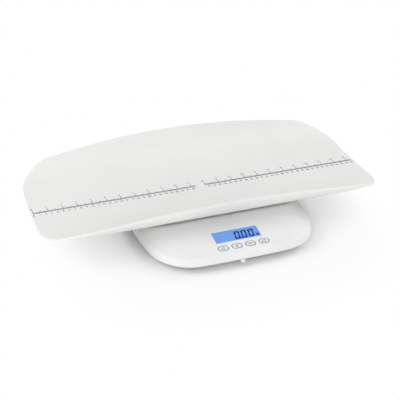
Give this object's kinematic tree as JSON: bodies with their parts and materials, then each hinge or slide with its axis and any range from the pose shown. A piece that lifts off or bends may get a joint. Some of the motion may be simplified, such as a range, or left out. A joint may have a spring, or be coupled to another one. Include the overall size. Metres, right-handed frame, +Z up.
{
  "type": "baby weighing scale",
  "caption": "Digital baby weighing scale: a wide trough-shaped tray with a printed ruler, lifted off a low base with a sloping console, a lit display and push keys.",
  "frame": {"origin": "on the ground under the middle of the overall length and depth", "axes": "+X along the tray to the right, +Y from the console to the back, +Z up"},
  "size_m": [0.6, 0.369, 0.0785],
  "materials": {
    "tray_white": "smooth white moulding with a soft sheen",
    "cover_white": "smooth white moulding with a soft sheen",
    "underside_white": "fine matt white moulding",
    "window": "clear flat window",
    "lcd_blue": "blue lit display with dark digits",
    "diffuser": "milky light guide",
    "holder_grey": "plain moulding",
    "board_green": "lacquered circuit board",
    "chip_black": "moulded components",
    "mat_grey": "silicone",
    "key_white": "matt white",
    "box_grey": "plain moulding",
    "battery_jacket": "plain printed jacket",
    "contact_brass": "plated strip",
    "spring_steel": "plated spring strip",
    "cell_steel": "ground steel plate",
    "screw_steel": "zinc-plated",
    "sole_rubber": "moulded rubber",
    "lead_black": "insulated lead",
    "lead_red": "insulated lead"
  },
  "bodies": {
    "base": {"base_top_cover": "cover_white", "base_bottom_cover": "underside_white", "display_window": "window", "lcd_panel": "lcd_blue", "lcd_backlight": "diffuser", "display_holder": "holder_grey", "main_board": "board_green", "board_parts": "chip_black", "buzzer": "chip_black", "key_mat": "mat_grey", "load_cell_front_left": "cell_steel", "load_cell_front_right": "cell_steel", "load_cell_back_left": "cell_steel", "load_cell_back_right": "cell_steel", "foot_front_left": "underside_white", "foot_front_right": "underside_white", "foot_back_left": "underside_white", "foot_back_right": "underside_white", "sole_front_left": "sole_rubber", "sole_front_right": "sole_rubber", "sole_back_left": "sole_rubber", "sole_back_right": "sole_rubber", "battery_box": "box_grey", "battery_1": "battery_jacket", "battery_2": "battery_jacket", "battery_3": "battery_jacket", "battery_4": "battery_jacket", "battery_contacts": "contact_brass", "battery_springs": "spring_steel", "lock_guide": "holder_grey", "cell_leads": "lead_black", "battery_lead": "lead_red", "cover_screws": "screw_steel", "board_screws": "screw_steel", "guide_screws": "screw_steel"},
    "key_power": {"key_power": "key_white"},
    "key_hold": {"key_hold": "key_white"},
    "key_tare": {"key_tare": "key_white"},
    "key_unit": {"key_unit": "key_white"},
    "battery_door": {"battery_door": "underside_white"},
    "lock_slide": {"lock_slide": "cover_white"},
    "tray": {"tray": "tray_white", "cap_front_left": "sole_rubber", "cap_front_right": "sole_rubber", "cap_back_left": "sole_rubber", "cap_back_right": "sole_rubber", "lock_pin": "screw_steel"}
  },
  "joints": [
    {"name": "key_power_press", "type": "slide", "parent": "base", "child": "key_power", "axis": [0, 0.1392, -0.9903], "range_m": [0, 0.0004], "stiffness_N_per_m": 1500, "springref_m": -0.0002},
    {"name": "key_hold_press", "type": "slide", "parent": "base", "child": "key_hold", "axis": [0, 0.1392, -0.9903], "range_m": [0, 0.0004], "stiffness_N_per_m": 1500, "springref_m": -0.0002},
    {"name": "key_tare_press", "type": "slide", "parent": "base", "child": "key_tare", "axis": [0, 0.1392, -0.9903], "range_m": [0, 0.0004], "stiffness_N_per_m": 1500, "springref_m": -0.0002},
    {"name": "key_unit_press", "type": "slide", "parent": "base", "child": "key_unit", "axis": [0, 0.1392, -0.9903], "range_m": [0, 0.0004], "stiffness_N_per_m": 1500, "springref_m": -0.0002},
    {"name": "battery_door_slide", "type": "slide", "parent": "base", "child": "battery_door", "axis": [0, 1, 0], "range_m": [0, 0.07]},
    {"name": "lock_slide_push", "type": "slide", "parent": "base", "child": "lock_slide", "axis": [0, 1, 0], "range_m": [0, 0.005]},
    {"name": "tray_lift", "type": "slide", "parent": "base", "child": "tray", "axis": [0, 0, 1], "range_m": [0, 0.07]}
  ]
}
